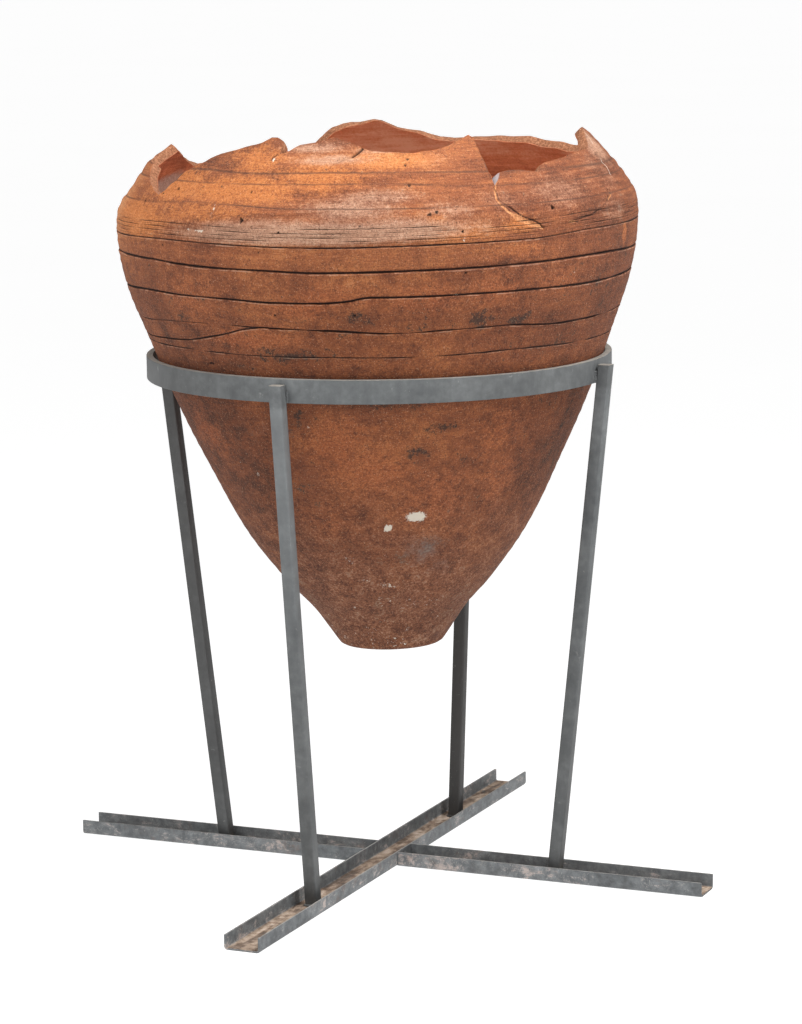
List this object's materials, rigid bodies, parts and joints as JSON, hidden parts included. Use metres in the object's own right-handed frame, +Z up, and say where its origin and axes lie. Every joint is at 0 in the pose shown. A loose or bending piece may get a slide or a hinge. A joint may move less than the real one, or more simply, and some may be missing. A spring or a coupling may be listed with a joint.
{
  "type": "broken pithos on a steel stand",
  "caption": "Large hollow storage jar of fired clay with incised rings and a broken rim, resting in the ring of a welded steel stand with splayed legs on a cross of channels.",
  "frame": {"origin": "on the floor, under the middle of the stand", "axes": "+Z up; Y along the long channel; the side that the picture shows faces -Y and a little +X"},
  "size_m": [1.2, 1.2, 1.313],
  "materials": {
    "fired_clay": "matt unglazed red-brown clay, weathered",
    "painted_steel": "satin mid-grey paint",
    "worn_steel": "scuffed grey paint with dust and a little rust"
  },
  "bodies": {
    "root": {"pithos": "fired_clay", "support_ring": "painted_steel", "leg_front": "painted_steel", "leg_right": "painted_steel", "leg_back": "painted_steel", "leg_left": "painted_steel", "long_channel": "worn_steel", "half_channel_left": "worn_steel", "half_channel_right": "worn_steel"}
  },
  "joints": []
}
